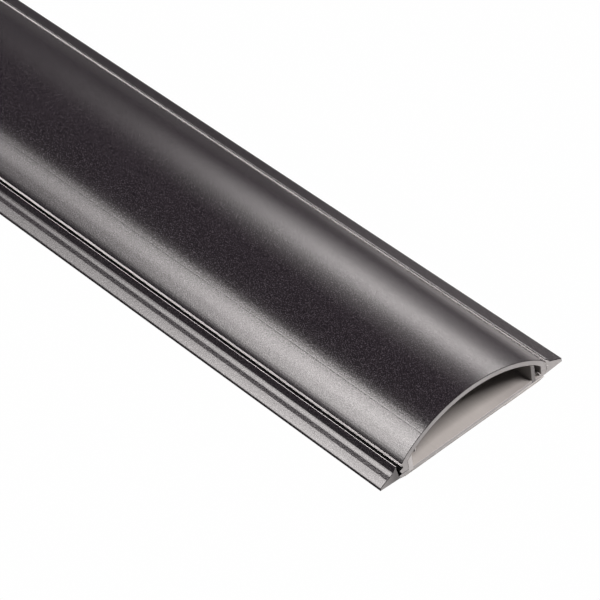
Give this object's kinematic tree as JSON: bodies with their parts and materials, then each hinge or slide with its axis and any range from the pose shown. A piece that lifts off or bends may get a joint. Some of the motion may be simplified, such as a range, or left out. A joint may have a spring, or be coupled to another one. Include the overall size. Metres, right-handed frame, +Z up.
{
  "type": "overfloor cable duct",
  "caption": "Half-round overfloor cable duct: flat base with wedge wings and an arched cover that hooks in on one side and tilts open.",
  "frame": {"origin": "middle of the underside, on the face of the release film", "axes": "+X along the duct, +Y across it to the side where the cover is hooked, +Z up"},
  "size_m": [1, 0.07, 0.0157],
  "materials": {
    "base_plastic": "black satin skin with a fine pebble grain on the wings, light grey plastic at the cut ends and inside",
    "cover_plastic": "black satin skin with a fine pebble grain on the arch, light grey plastic at the cut ends and inside",
    "foam_tape": "closed-cell grey foam, matt",
    "liner_film": "thin off-white release film, slightly glossy"
  },
  "bodies": {
    "base": {"floor_base": "base_plastic", "adhesive_tape": "foam_tape", "release_liner_near": "liner_film", "release_liner_far": "liner_film"},
    "cover": {"snap_cover": "cover_plastic"}
  },
  "joints": [
    {"name": "cover_tilt", "type": "hinge", "parent": "base", "child": "cover", "pos_m": [0, 0.029, 0.005], "axis": [-1, 0, 0], "range_deg": [0, 45]}
  ]
}
